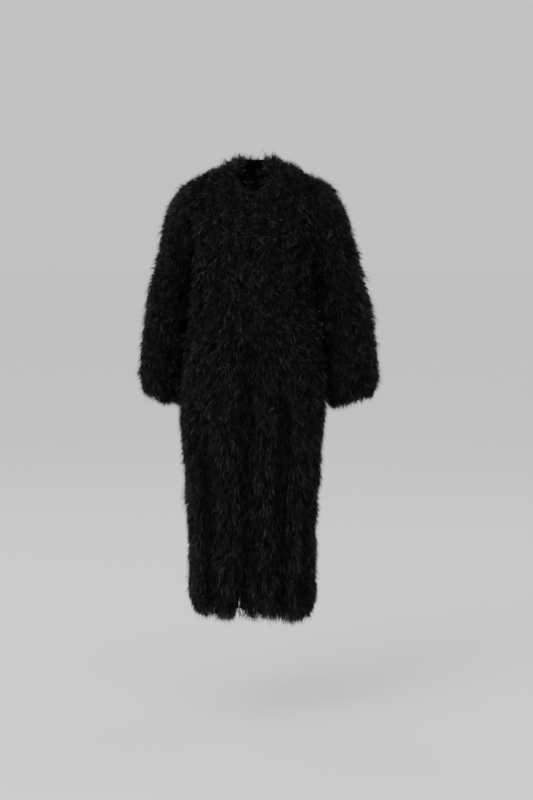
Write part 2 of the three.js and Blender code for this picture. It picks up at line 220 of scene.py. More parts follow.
body_rows = smooth_rows(BODY)
body_v = path_length(body_rows[:, Z], body_rows[:, HALF_WIDTH])
sleeve_rows = smooth_rows(SLEEVE)
sleeve_v = path_length(sleeve_rows[:, 0], sleeve_rows[:, 2])
print("body", round(body_v[-1], 3), "m from hem to neck; sleeve", round(sleeve_v[-1], 3), "m")

# %% [markdown]
# ## Two surfaces that everything hangs on
#
# Each point of the coat gets two numbers: how far round it lies, and how far up the body or down
# the sleeve. Cloth and feathers both ask these functions where they are, so they stay together.


# %% Helpers for whole arrays
def unit(v):
    """v / |v|."""
    return v / np.maximum(np.linalg.norm(v, axis=-1, keepdims=True), 1e-12)


def smoothstep(start, end, x):
    """0 at start, 1 at end, t²(3-2t) between them, where t is the share of the way."""
    t = np.clip((x - start) / (end - start), 0, 1)
    return t * t * (3 - 2 * t)


def bezier(a, b, c, t):
    """(1-t)² a + 2t(1-t) b + t² c."""
    return (1 - t) ** 2 * a + 2 * t * (1 - t) * b + t**2 * c


print("halfway", smoothstep(0, 1, 0.5))


# %% The body as a function
def body_column(v, column):
    """One measurement of the body at the length v up from the hem."""
    return np.interp(v, body_v, body_rows[:, column])


def body_length_at(z):
    """The length v at which the body has the height z."""
    return float(np.interp(z, body_rows[:, Z], body_v))


def body_surface(u, v):
    """u is the angle from the front towards the left. x = w |sin u|^(2/q), y = d |cos u|^(2/q)."""
    u, v = np.broadcast_arrays(u, v)
    z, width, front, back, shift, square = (body_column(v, k) for k in range(6))
    s, c = np.sin(u), np.cos(u)
    depth = np.where(c > 0, front, back)
    x = np.sign(s) * np.abs(s) ** (2 / square) * width + shift
    y = -np.sign(c) * np.abs(c) ** (2 / square) * depth
    return np.stack([x, y, z], -1)


print("front of the body at half height", body_surface(np.zeros(1), np.full(1, 0.6)).round(3))

# %% The sleeves as functions
# side and fullness: the left sleeve of this coat hangs a little fuller than the right one
SLEEVES = {"sleeve_right": (-1, 0.97), "sleeve_left": (1, 1.1)}
FULLER_FROM_Z, FULLER_TO_Z = -0.13, -0.30


def sleeve_axis(side, fullness, v):
    """Middle of the sleeve, its outward direction, and its half sizes, at the length v."""
    x, y, z, across, deep, lean = (np.interp(v, sleeve_v, sleeve_rows[:, k]) for k in range(6))
    slope = np.gradient(sleeve_rows[:, [0, 2]], sleeve_v, axis=0)
    ax, az = (np.interp(v, sleeve_v, slope[:, k]) for k in range(2))
    heading = np.arctan2(az, ax) + np.radians(lean)
    full = 1 + (fullness - 1) * smoothstep(FULLER_FROM_Z, FULLER_TO_Z, z)
    outward = np.stack([-np.sin(heading) * side, 0 * x, np.cos(heading)], -1)
    return np.stack([x * side, y, z], -1), outward, across * full, deep / np.sqrt(full)


def sleeve_surface(name):
    """u is the angle round the sleeve: 0 on the outer side, a quarter turn at the back."""
    side, fullness = SLEEVES[name]

    def surface(u, v):
        """middle + outward A cos u + back D sin u."""
        u, v = np.broadcast_arrays(u, v)
        middle, outward, across, deep = sleeve_axis(side, fullness, v)
        point = middle + outward * (np.cos(u) * across)[..., None]
        point[..., 1] += np.sin(u) * deep
        return point

    return surface


print("outer side of the left cuff", sleeve_surface("sleeve_left")(np.zeros(1), sleeve_v[-1:]).round(3))

# %% Directions at a point of a surface
SMALL_STEP = 0.004


def frame_at(surface, u, v, turn):
    """The point P, its outward normal n = turn (dP/du x dP/dv), and the direction of growing v."""
    upward = surface(u, v + SMALL_STEP) - surface(u, v - SMALL_STEP)
    around = surface(u + 2 * SMALL_STEP, v) - surface(u - 2 * SMALL_STEP, v)
    return surface(u, v), unit(turn * np.cross(around, upward)), unit(upward)


print("normal in front", frame_at(body_surface, np.zeros(1), np.full(1, 0.6), 1)[1].round(2))


# %% Which side of the body or sleeve a point lies on
SLEEVE_RINGS = 90
OFF_RING_WEIGHT = 4


def outside_body(p):
    """|x/w|^q + |y/d|^q - 1, below 0 inside the body; 1 above its rim."""
    order = np.argsort(body_rows[:, Z])
    at = [np.interp(p[..., 2], body_rows[order, Z], body_rows[order, k]) for k in range(6)]
    _, width, front, back, shift, square = at
    depth = np.where(p[..., 1] < 0, front, back)
    value = np.abs((p[..., 0] - shift) / width) ** square + np.abs(p[..., 1] / depth) ** square - 1
    return np.where(p[..., 2] > BODY[-1, Z], 1.0, value)


def outside_sleeve(p, name, inset):
    """(a/A)² + (y/D)² - 1 at the nearest ring of the sleeve made inset smaller, below 0 inside it."""
    side, fullness = SLEEVES[name]
    ring_v = np.linspace(0, sleeve_v[-1], SLEEVE_RINGS)
    middle, outward, across, deep = sleeve_axis(side, fullness, ring_v)
    along = np.stack([-outward[:, 2], outward[:, 1], outward[:, 0]], -1)
    away = p[..., None, :] - middle
    off_ring = np.abs((away * along).sum(-1))
    ring = (np.linalg.norm(away, axis=-1) + OFF_RING_WEIGHT * off_ring).argmin(-1)
    away = p - middle[ring]
    a = (away * outward[ring]).sum(-1)
    return (a / (across[ring] - inset)) ** 2 + (away[..., 1] / (deep[ring] - inset)) ** 2 - 1


print("in the sleeve", outside_sleeve(np.array([[0.25, 0.015, -0.4]]), "sleeve_left", 0).round(2))

# %% [markdown]
# ## The lines where the coat is cut
#
# The coat has two fronts, a back, two set-in sleeves and a low band round the neck. The fronts
# meet edge to edge, and the line between them drifts to the right as it nears the hem, where
# it parts into a short slit. At the throat the edges part into a small rounded notch.

# %% Front edges and side seams
EDGE_Z = np.array([-1.320, -1.160, -1.040, -0.640, -0.060, 0.120])
EDGE_X = np.array([-0.054, -0.026, -0.008, -0.002, 0.004, 0.004])
EDGE_GAP = np.array([0.020, 0.000, 0.000, 0.000, 0.000, 0.000])
SIDE_SEAM_Y = 0.006


def front_line_x(z):
    """Where the line between the fronts runs at a height."""
    return np.interp(z, EDGE_Z, EDGE_X)


def edge_x(z, side):
    """Where the edge of the left (+1) or right (-1) front runs: half the gap off the line."""
    return front_line_x(z) + side * np.interp(z, EDGE_Z, EDGE_GAP) / 2


def angle_of_x(x, v):
    """Angle where the front of the body has this x: sin u = ((x - shift)/w)^(q/2)."""
    share = (x - body_column(v, SHIFT)) / body_column(v, HALF_WIDTH)
    return np.arcsin(np.clip(np.sign(share) * np.abs(share) ** (body_column(v, SQUARE) / 2), -1, 1))


def angle_of_side_seam(v):
    """Angle where the body crosses the upright plane of the side and shoulder seams."""
    return np.pi / 2 + np.arcsin((SIDE_SEAM_Y / body_column(v, BACK)) ** (body_column(v, SQUARE) / 2))


print("left front edge near the hem", edge_x(np.array([-1.2]), 1).round(3))

# %% Neck band, notch and armhole seam
BAND_WIDTH, BAND_FRONT, BAND_BACK = 0.088, 0.078, 0.090
NOTCH = np.array([
    # x and z of the lowest point, of the bend and of the rim
    [0.004, -0.052],
    [0.037, -0.034],
    [0.047, 0.000],
])
NOTCH_HALF_WIDTH = NOTCH[-1, 0]
NOTCH_X, NOTCH_Z = bezier(*NOTCH, np.linspace(0, 1, 40)[:, None]).T
SHOULDER_SEAM_X = 0.150
SHOULDER_ABOVE_Z = -0.100
FAR_BEYOND = 1.0


def in_band(p):
    """Inside the upright oval round the neck: (x/w)² + (y/d)² < 1."""
    depth = np.where(p[..., 1] < 0, BAND_FRONT, BAND_BACK)
    return (p[..., 0] / BAND_WIDTH) ** 2 + (p[..., 1] / depth) ** 2 < 1


def in_notch(p, margin=0.0):
    """Above the rounded notch at the throat, whose curve is a bezier from lowest point to rim."""
    x = np.abs(p[..., 0])
    low = np.interp(x, NOTCH_X, NOTCH_Z) - margin
    return (x < NOTCH_HALF_WIDTH + margin) & (p[..., 2] > low) & (p[..., 1] < 0)


def beyond_seam(p):
    """How far a point lies beyond the armhole seam on top of the shoulder; FAR_BEYOND lower down."""
    return np.where(p[..., 2] > SHOULDER_ABOVE_Z, np.abs(p[..., 0]) - SHOULDER_SEAM_X, FAR_BEYOND)


print("notch is", -NOTCH_Z.min(), "m deep")

# %% [markdown]
# ## Thick and thin down
#
# The pile of the down is a little over two centimetres deep and gets short at the neck. Where it
# hangs, down parts into rows with soft channels between them, dark by their depth and by shade painted
# on the plumes in them, and the hem isn't level. All three are gentle functions of the place on the
# coat, so cloth and plumes can follow the same ones.

# %% Depth of the pile
PILE = 0.024
PILE_LESS_AT_NECK = 0.015
SHORTER_FROM_Z, SHORTER_TO_Z = -0.020, 0.030


def pile_depth(v):
    """How far the cloth lies under the feather tips: less at the neck."""
    return PILE - PILE_LESS_AT_NECK * smoothstep(SHORTER_FROM_Z, SHORTER_TO_Z, body_column(v, Z))


print("pile at the hem", pile_depth(np.zeros(1)))

# %% Soft channels of the skirt
CHANNELS = np.array([
    # angle, top, depth, half width
    [-74, -0.560, 0.007, 0.024],
    [-33, -0.600, 0.018, 0.017],
    [0, -0.380, 0.014, 0.014],
    [29, -0.560, 0.018, 0.016],
    [58, -0.790, 0.008, 0.024],
    [96, -0.600, 0.008, 0.024],
    [132, -0.520, 0.010, 0.028],
    [168, -0.680, 0.008, 0.024],
    [-158, -0.540, 0.011, 0.026],
    [-118, -0.700, 0.009, 0.026],
])
CHANNEL_DEEPENS_OVER = 0.14
CHANNEL_AT_HEM = 0.2
FLAT_BELOW_Z, FULL_ABOVE_Z = -1.230, -1.130


def channel(u, v, front=1.0):
    """How deep the down falls back: depth · exp(-(distance/half width)²), summed over the channels.
    The channel at angle 0 follows the line where the two fronts meet, and counts front times."""
    angle, top, depth, width = (CHANNELS[:, k] for k in range(4))
    z = body_column(v, Z)
    front_line = np.degrees(angle_of_x(front_line_x(z), v))
    depth = np.where(angle == 0, front * depth, depth)
    angle = np.where(angle == 0, front_line[..., None], angle)
    apart = (np.degrees(u)[..., None] - angle + 540) % 360 - 180
    across = np.radians(np.abs(apart)) * body_column(v, HALF_WIDTH)[..., None]
    near_hem = CHANNEL_AT_HEM + (1 - CHANNEL_AT_HEM) * smoothstep(FLAT_BELOW_Z, FULL_ABOVE_Z, z)
    strength = smoothstep(top, top - CHANNEL_DEEPENS_OVER, z[..., None]) * near_hem[..., None]
    return (depth * np.exp(-((across / width) ** 2)) * strength).sum(-1)


print("channel in front", channel(np.zeros(1), np.full(1, 0.2)).round(4))

# %% The uneven hem
HEM_LEVELS = np.array([
    # angle, rise
    [-180, 0.004],
    [-120, -0.004],
    [-70, 0.008],
    [-25, -0.003],
    [12, 0.006],
    [55, -0.020],
    [95, 0.006],
    [140, -0.006],
    [180, 0.004],
])


def hem_rise(u):
    """The hem hangs a little lower or higher round the coat: straight lines between the levels."""
    return np.interp((np.degrees(u) + 180) % 360 - 180, HEM_LEVELS[:, 0], HEM_LEVELS[:, 1])


print("hem at the left corner", hem_rise(np.radians(np.array([55]))))

# %% [markdown]
# ## The ground cloth
#
# On the real coat this is a light, firm black silk that carries the plumes. It could be draped by
# a cloth simulation, but a worn coat that hangs straight is better drawn: the shape is known,
# and the panels then meet exactly at their seams. Each panel is one grid of points, and the
# Solidify modifier gives it the thickness of cloth.

# %% Grid to cloth
CLOTH = 0.002


def grid_cloth(name, points, keep=None, closed=False):
    """A grid of points as one piece of cloth. Faces whose corners aren't all kept are left out."""
    rows, columns = points.shape[:2]
    index = np.arange(rows * columns).reshape(rows, columns)
    if closed:
        index = np.concatenate([index, index[:, :1]], 1)
    corners = [index[:-1, :-1], index[:-1, 1:], index[1:, 1:], index[1:, :-1]]
    quads = np.stack([c.ravel() for c in corners], 1)
    if keep is not None:
        quads = quads[keep.ravel()[quads].all(1)]
    used, flat = np.unique(quads, return_inverse=True)
    mesh = bpy.data.meshes.new(name)
    mesh.from_pydata(points.reshape(-1, 3)[used].tolist(), [], flat.reshape(-1, 4).tolist())
    mesh.polygons.foreach_set("use_smooth", np.ones(len(mesh.polygons), bool))
    obj = bpy.data.objects.new(name, mesh)
    bpy.context.scene.collection.objects.link(obj)
    solid = obj.modifiers.new("thickness", "SOLIDIFY")
    solid.thickness = CLOTH
    solid.offset = -1
    return obj


print("cloth is", CLOTH, "m thick, towards the inside")

# %% Cloth of the fronts and the back
HEM_ALLOWANCE = 0.016
HEM_SHARE = 0.05
CLOTH_HEM_V = body_length_at(-1.222)
CLOTH_IN_CHANNEL = 0.4
CLOTH_INTO_SLEEVE = 0.032
CLOTH_PAST_SEAM = 0.006
UNDER_BAND = 0.001
SHOULDER_V = 1.0
SEARCH_FROM_V, SEARCH_STEPS = 0.9, 700
SEARCH_V = np.linspace(SEARCH_FROM_V, body_v[-1], SEARCH_STEPS)


def panel_top(u):
    """The length v where a column of the panel meets the neck band or the notch."""
    p = body_surface(u[..., None], SEARCH_V)
    return SEARCH_V[(in_band(p) | in_notch(p)).argmax(-1)] - UNDER_BAND


def panel(name, start, end, columns, rows=64):
    """Cloth between two seam lines u = start(v) and u = end(v), from the hem to the neck band."""
    f = np.linspace(0, 1, columns)
    t = np.linspace(0, 1, rows)[:, None]
    high = np.full(columns, SHOULDER_V)
    top = panel_top(start(high) + f * (end(high) - start(high)))
    v = CLOTH_HEM_V + t * (top - CLOTH_HEM_V)
    u = start(v) + f * (end(v) - start(v))
    p, n, _ = frame_at(body_surface, u, v, 1)
    p = p - n * (pile_depth(v) + CLOTH_IN_CHANNEL * channel(u, v))[..., None]
    p[..., 2] += hem_rise(u) * (1 - t) - HEM_ALLOWANCE * smoothstep(HEM_SHARE, 0, t)
    keep = np.ones(v.shape, bool)
    for sleeve in SLEEVES:
        outside = outside_sleeve(p, sleeve, inset=CLOTH_INTO_SLEEVE) > 0
        keep &= outside | (beyond_seam(p) < CLOTH_PAST_SEAM)
    return grid_cloth(name, p, keep)


def left_edge(v):
    """Angle of the left front's edge."""
    return angle_of_x(edge_x(body_column(v, Z), 1), v)


def right_edge(v):
    """Angle of the right front's edge."""
    return angle_of_x(edge_x(body_column(v, Z), -1), v)


cloth = {
    "front_left": panel("cloth_front_left", left_edge, angle_of_side_seam, 30),
    "front_right": panel("cloth_front_right", lambda v: -angle_of_side_seam(v), right_edge, 30),
    "back": panel("cloth_back", angle_of_side_seam, lambda v: 2 * np.pi - angle_of_side_seam(v), 56),
}
print("panels", {node: len(piece.data.polygons) for node, piece in cloth.items()})

# %% [markdown]
# ### The neck band
#
# A low band holds the edge round the neck in shape. On a real coat it's a narrow strip, sewn on last.
# Here it's one more grid. Its lower edge follows the seam of the panels and lies a little under it.

# %% Cloth of the neck band
BAND_TOP_Z = 0.034
THROAT_Z = 0.004
BAND_OVERLAP = 0.004


def neck_band(columns=60, rows=8):
    """Band from just under the oval round the neck up to its rim, open at the throat."""
    f = np.linspace(0, 1, columns)
    t = np.linspace(0, 1, rows)[:, None]
    start = angle_of_x(np.full(1, NOTCH_HALF_WIDTH), np.full(1, body_length_at(THROAT_Z)))
    round_neck = start + f * (2 * np.pi - 2 * start)
    seam = SEARCH_V[in_band(body_surface(round_neck[:, None], SEARCH_V)).argmax(-1)]
    v = seam - BAND_OVERLAP + t * (body_length_at(BAND_TOP_Z) - seam + BAND_OVERLAP)
    side = angle_of_x(NOTCH_HALF_WIDTH, v)
    u = side + f * (2 * np.pi - 2 * side)
    p, n, _ = frame_at(body_surface, u, v, 1)
    return grid_cloth("cloth_neck_band", p - n * pile_depth(v)[..., None])


cloth["neck_band"] = neck_band()
print("neck band", len(cloth["neck_band"].data.polygons), "faces")

# %% [markdown]
# ### The sleeves
#
# A set-in sleeve is a tube that is sewn into the armhole. So it's drawn as a closed grid, and each
# face that would lie deep inside the body is left out. That gives the armhole without any cutting.

# %% Cloth of the sleeves
SLEEVE_PILE = 0.023
SLEEVE_PILE_LESS_INSIDE = 0.010
SLEEVE_START_V = 0.02
CLOTH_INTO_BODY, CLOTH_BEFORE_SEAM = -0.36, -0.006
CLOTH_CUFF_ROW = 9.6
SLEEVE_CLOTH_V = float(np.interp(CLOTH_CUFF_ROW, np.arange(len(sleeve_v)) / STEPS_PER_ROW, sleeve_v))


def body_side(u):
    """0 on the outer side of the sleeve, 1 on the side towards the body: (1 - cos u)/2."""
    return 0.5 - 0.5 * np.cos(u)


def sleeve_belongs(p, outside, before_seam):
    """A point of the sleeve outside the body, or beyond the seam on top of the shoulder."""
    beyond = beyond_seam(p)
    return (outside_body(p) > outside) | ((beyond > before_seam) & (beyond < FAR_BEYOND / 2))


def sleeve_cloth(name, columns=44, rows=56):
    """Tube inside the down of the sleeve, from the armhole seam to the cuff."""
    u = np.linspace(0, 2 * np.pi, columns, endpoint=False)
    v = np.linspace(SLEEVE_START_V, SLEEVE_CLOTH_V, rows)[:, None]
    u, v = np.broadcast_arrays(u, v)
    p, n, _ = frame_at(sleeve_surface(name), u, v, -SLEEVES[name][0])
    p = p - n * (SLEEVE_PILE - SLEEVE_PILE_LESS_INSIDE * body_side(u))[..., None]
    keep = sleeve_belongs(p, CLOTH_INTO_BODY, CLOTH_BEFORE_SEAM)
    return grid_cloth("cloth_" + name, p, keep, closed=True)


for name in SLEEVES:
    cloth[name] = sleeve_cloth(name)
    print(name, len(cloth[name].data.polygons), "faces")

# %% [markdown]
# ## Where the plumes are sewn on
#
# Plumes are set in close rows, evenly over the whole cloth. Steps by two fixed numbers, relatives
# of the golden ratio, spread points nearly as evenly as rows do, but they show no lines. That is
# right for down, in which the rows vanish.

# %% Even scatter
PER_SQUARE_METRE = 6800
# 1/g and 1/g², where g³ = g + 1
EVEN_STEPS = 0.7548776662466927, 0.5698402909980532
CELLS_ROUND, CELLS_ALONG = 96, 240


def scatter(surface, square_metres, u_range, v_range):
    """Points spread by area. Point k lies at two shares of it, (1/2 + k·step) mod 1 for each step:
    the first picks the row of cells, the second the place round that row."""
    us = np.linspace(*u_range, CELLS_ROUND + 1)
    vs = np.linspace(*v_range, CELLS_ALONG + 1)
    p = surface(us[None, :], vs[:, None])
    cross = np.cross(p[1:, :-1] - p[:-1, :-1], p[:-1, 1:] - p[:-1, :-1])
    area = np.linalg.norm(cross, axis=-1) + 1e-12
    count = int(square_metres * PER_SQUARE_METRE)
    k = np.arange(count)
    a, b = ((0.5 + k * step) % 1 for step in EVEN_STEPS)
    rows = np.concatenate([[0], np.cumsum(area.sum(1))])
    v = np.interp(a * rows[-1], rows, vs)
    row = np.clip(np.searchsorted(vs, v) - 1, 0, len(area) - 1)
    sums = np.concatenate([np.zeros((count, 1)), np.cumsum(area[row], 1)], 1)
    sums /= sums[:, -1:]
    j = np.clip((sums < b[:, None]).sum(1) - 1, 0, CELLS_ROUND - 1)
    low, high = sums[k, j], sums[k, j + 1]
    return us[j] + (us[1] - us[0]) * (b - low) / (high - low), v


print(PER_SQUARE_METRE, "plumes on a square metre")

# %% [markdown]
# ## How the down lies
#
# The plumes lean out and hang down. On the skirt they fall straight and gather into long pointed
# tufts with channels between, which painted shade darkens; over shoulders, chest and sleeves they curl
# outwards in all directions; round the neck they stand up. Each plume is bent from its root to the place of
# its tip.

# %% Tufts: neighbouring plumes lean to one common point
TUFT_PULL = 0.45
MIDDLE_LUCK = 0.35
LUCK_TABLE = 89, 97
WAVES = [
    # height, quickness, start
    (0.55, 1.7, 0),
    (0.35, 3.3, 1),
]


def tufts(a, v, width, height, rng):
    """Moves tips part of the way to the middle of their brick, and gives each brick its own luck.
    The brick courses rise and fall as two added sine waves, so that no level line shows."""
    wave = height * sum(high * np.sin(quick * a / width + start) for high, quick, start in WAVES)
    j = np.floor((v + wave) / height).astype(int)
    shift = 0.5 * (j % 2)
    i = np.floor(a / width + shift).astype(int)
    luck = rng.uniform(-1, 1, (*LUCK_TABLE, 5))[i % LUCK_TABLE[0], j % LUCK_TABLE[1]]
    middle_a = (i + 0.5 - shift + MIDDLE_LUCK * luck[:, 0]) * width
    middle_v = (j + 0.5 + MIDDLE_LUCK * luck[:, 1]) * height - wave
    return a + TUFT_PULL * (middle_a - a), v + TUFT_PULL * (middle_v - v), luck


print("a tuft pulls its tips", TUFT_PULL, "of the way")

# %% The shaft of each plume
SHAFT_UNDER = 0.011
STRAY_ABOVE = 0.86
STRAY_LIFT = 0.012
HIGHEST_SHAFT = 0.004
LENGTH_LUCK, ASIDE_LUCK, LOW_LUCK = 0.25, 0.012, 0.007
LENGTH_NOISE, ASIDE_NOISE, LOW_NOISE = 0.006, 0.008, 0.003
BEND_SUNK, BEND_FORWARD = 0.6, 0.25


def lay(surface, u, v, rng, *, turn, radius, flow, limits, depth, length, loose, inset, aside, past, brick):
    """Root, bend and tip of each shaft, and the outward direction at its root.
    The root lies depth under the surface over the feathers. The tip lies length further along the
    flow (1 or -1 in v), a little under that surface. What the limits take from it is added again
    straight along the flow, up to past. The bend lies above the root and a quarter of the way to
    the tip, so that a plume rises first and then hangs."""
    a, lead, luck = tufts(u * radius, v, *brick, rng)
    noise = rng.normal(0, 1, (len(u), 4))
    root, n, _ = frame_at(surface, u, v, turn)
    root = root - n * depth[:, None]
    tip_v = lead + flow * (length * (1 + LENGTH_LUCK * luck[:, 2]) + LENGTH_NOISE * loose * noise[:, 0])
    tip_u = (a + aside + loose * (ASIDE_LUCK * luck[:, 3] + ASIDE_NOISE * noise[:, 1])) / radius
    held = np.clip(tip_v, *limits)
    over = np.minimum(np.abs(tip_v - held), past)
    p, tip_n, tip_along = frame_at(surface, tip_u, held, turn)
    stray = rng.uniform(0, 1, len(u)) > STRAY_ABOVE
    low = inset + SHAFT_UNDER + LOW_LUCK * luck[:, 4] + LOW_NOISE * noise[:, 2] - STRAY_LIFT * stray
    tip = p - tip_n * np.maximum(low, -HIGHEST_SHAFT)[:, None] + tip_along * (flow * over)[:, None]
    rise = depth - SHAFT_UNDER - BEND_SUNK * inset
    bend = root + n * rise[:, None] + (tip - root) * BEND_FORWARD
    return root, bend, tip, n


print("shafts lie", SHAFT_UNDER, "m under the surface")

# %% [markdown]
# ### Plumes of the body
#
# Plumes are sewn on from the hem upwards, so that each row covers the stitches of the row below.
# Five extra rows along the hem make its edge soft and full, and hide where the cloth ends.
# Where each plume is sewn on comes first, then its length, then what pushes it aside.

# %% Places of the body plumes
BODY_AREA = 1.62
HEM_ROWS = [0.030, 0.038, 0.048, 0.058, 0.068]
HEM_ROW_PLUMES = 300
LOWEST_EVEN_V = 0.03
LOWEST_ROOT_Z = -1.230
ROOTS_INTO_NOTCH, ROOTS_INTO_SLEEVE, ROOTS_PAST_SEAM = 0.012, 0.014, 0.004

rng = np.random.default_rng(7)
even_u, even_v = scatter(body_surface, BODY_AREA, (-np.pi, np.pi), (LOWEST_EVEN_V, body_v[-1]))
hem_u = np.tile(np.linspace(-np.pi, np.pi, HEM_ROW_PLUMES, endpoint=False), len(HEM_ROWS))
u = np.concatenate([even_u, hem_u])
v = np.concatenate([even_v, np.repeat(HEM_ROWS, HEM_ROW_PLUMES)])
hem_row = np.arange(len(u)) >= len(even_u)
p = body_surface(u, v)
sewn = ~in_notch(p, -ROOTS_INTO_NOTCH) & (p[:, 2] > LOWEST_ROOT_Z)
for name in SLEEVES:
    outside = outside_sleeve(p, name, inset=ROOTS_INTO_SLEEVE) > 0
    sewn &= outside | (beyond_seam(p) < ROOTS_PAST_SEAM)
u, v, p, hem_row = u[sewn], v[sewn], p[sewn], hem_row[sewn]
z = p[:, 2]
print("body plumes", len(u), "of them along the hem", hem_row.sum())

# %% Length and tuft size of the body plumes
STANDING_FROM_Z, STANDING_TO_Z = -0.034, 0.010
CURLY_FROM_Z, CURLY_TO_Z = -0.66, -0.34
SKIRT_BELOW_Z = -0.52
HANGING_LENGTH, SHORTER_IF_CURLY, BACK_IF_STANDING = 0.052, 0.024, 1.25
PAST_HEM, UNEVEN_HEM = 0.020, 0.006
HEM_ROOTS_OUT = 0.016
SKIRT_BRICK, CURLY_BRICK = (0.026, 0.056), (0.034, 0.036)
HEM_BRICK_HEIGHT = 0.020

depth = pile_depth(v) - HEM_ROOTS_OUT * hem_row * rng.uniform(0, 1, len(u))
standing = smoothstep(STANDING_FROM_Z, STANDING_TO_Z, z)
curly = smoothstep(CURLY_FROM_Z, CURLY_TO_Z, z)
hem_length = v + PAST_HEM + UNEVEN_HEM * rng.normal(0, 1, len(u))
other_length = (HANGING_LENGTH - SHORTER_IF_CURLY * curly) * (1 - BACK_IF_STANDING * standing)
length = np.where(hem_row, hem_length, other_length)
skirt = z < SKIRT_BELOW_Z
brick_width = np.where(skirt, SKIRT_BRICK[0], CURLY_BRICK[0])
brick_height = np.where(hem_row, HEM_BRICK_HEIGHT, np.where(skirt, SKIRT_BRICK[1], CURLY_BRICK[1]))
print("longest", length.max().round(3), "m; stands up at the neck", int((length < 0).sum()))

# %% Channels and slit part the plumes
AROUND, AROUND_RADIUS = 0.02, 0.18
FOLD_AT_FRONT = 0.5
SLIT_FROM_Z, SLIT_TO_Z, SLIT_HALF_WIDTH = -1.160, -1.205, 0.020
PART_AT_CHANNEL, PART_AT_SLIT = 0.016, 0.017

fold = channel(u, v, front=FOLD_AT_FRONT)
slope = (channel(u + AROUND, v, front=0) - channel(u - AROUND, v, front=0)) / (2 * AROUND * AROUND_RADIUS)
from_line = p[:, 0] - front_line_x(z)
in_front = np.abs(u) < 1
slit = smoothstep(SLIT_FROM_Z, SLIT_TO_Z, z) * np.exp(-((from_line / SLIT_HALF_WIDTH) ** 2)) * in_front
aside = -PART_AT_CHANNEL * slope + PART_AT_SLIT * np.sign(from_line) * slit
print("tips moved aside by up to", np.abs(aside).max().round(3), "m")

# %% Body plumes laid down
BODY_RADIUS = 0.17
HEM_TIPS_V, OTHER_TIPS_V, STRAIGHT_ON = 0.018, 0.008, 0.022
LOOSE, LOOSER_IF_CURLY = 0.5, 0.95
SUNK_IN_FOLD, SUNK_AT_MOST = 2.6, 0.015

root, bend, tip, normal = lay(
    body_surface, u, v, rng, turn=1, radius=BODY_RADIUS, flow=-np.ones(len(u)),
    limits=(np.where(hem_row, HEM_TIPS_V, OTHER_TIPS_V), body_v[-1]), depth=depth, length=length,
    loose=LOOSE + LOOSER_IF_CURLY * curly, inset=np.minimum(SUNK_IN_FOLD * fold, SUNK_AT_MOST),
    aside=aside, past=STRAIGHT_ON, brick=(brick_width, brick_height))
print("body plumes laid", len(tip))

# %% The plumes stand up at the neck and follow the uneven hem
LIFT_AT_MOST, SUNK_ON_TOP, BEND_LIFT = 0.024, 0.004, 0.5
HEM_TIPS_DOWN = 0.016
HEM_RISE_FROM_Z, HEM_RISE_TO_Z = -1.106, -1.236

steep = 1 - np.clip(normal[:, 2], 0, 1)
lift = standing * (rng.uniform(0.0, LIFT_AT_MOST, len(u)) * steep - SUNK_ON_TOP * (1 - steep))
tip[:, 2] += lift - HEM_TIPS_DOWN * hem_row
bend[:, 2] += BEND_LIFT * lift
for point in (root, bend, tip):
    point[:, 2] += hem_rise(u) * smoothstep(HEM_RISE_FROM_Z, HEM_RISE_TO_Z, z)
print("highest tip", tip[:, 2].max().round(3), "lowest", tip[:, 2].min().round(3))

# %% Curl and painted shade of the body plumes
CURL, MORE_CURL_IF_CURLY = 0.40, 0.60
CALMER_IN_FOLD, CALM_FROM = 0.75, 0.004
# painted shade: plumes whose roots lie in a channel are darkened, standing in for the shade in the fold
DARKER_IN_CHANNEL, DARK_FROM = 0.96, 0.007

calm = 1 - CALMER_IN_FOLD * np.clip(fold / CALM_FROM, 0, 1)
body_plumes = dict(
    root=root, bend=bend, tip=tip, normal=normal,
    curl=(CURL + MORE_CURL_IF_CURLY * curly) * calm * (1 - slit),
    shade=1 - DARKER_IN_CHANNEL * np.clip(channel(u, v) / DARK_FROM, 0, 1))
print("darkest root has the shade", body_plumes["shade"].min().round(2))

# %% [markdown]
# ### Plumes of the sleeves
#
# Nothing hangs long on a sleeve, so its plumes are short and curl in all directions. Two extra rows
# go round the cuff. The same function lays them as on the body: only surface and sizes differ.

# %% Sleeve plumes
SLEEVE_AREA = 0.40
FIRST_ROOT_V, LAST_ROOT_UP = 0.04, 0.022
CUFF_ROWS_UP = [0.020, 0.030]
CUFF_ROW_PLUMES = 110
ROOTS_INTO_BODY, ROOTS_BEFORE_SEAM = -0.16, -0.002
UPPER_SLEEVE_Z, UPPER_SLEEVE_HALF = -0.20, 0.09
SUNK_ON_UPPER, RAISED_INSIDE = 0.006, 0.003
SLEEVE_RADIUS = 0.075
TIPS_UP, STRAIGHT_ON_AT_CUFF = 0.004, 0.008
SLEEVE_LENGTH, SHORTER_INSIDE = 0.032, 0.006
# SLEEVE_SHADE is painted shade: sleeve plumes are darkened, as the sleeves get less of the light from the
# front than the body
SLEEVE_LOOSE, SLEEVE_CURL, SLEEVE_SHADE = 1.3, 0.95, 0.72


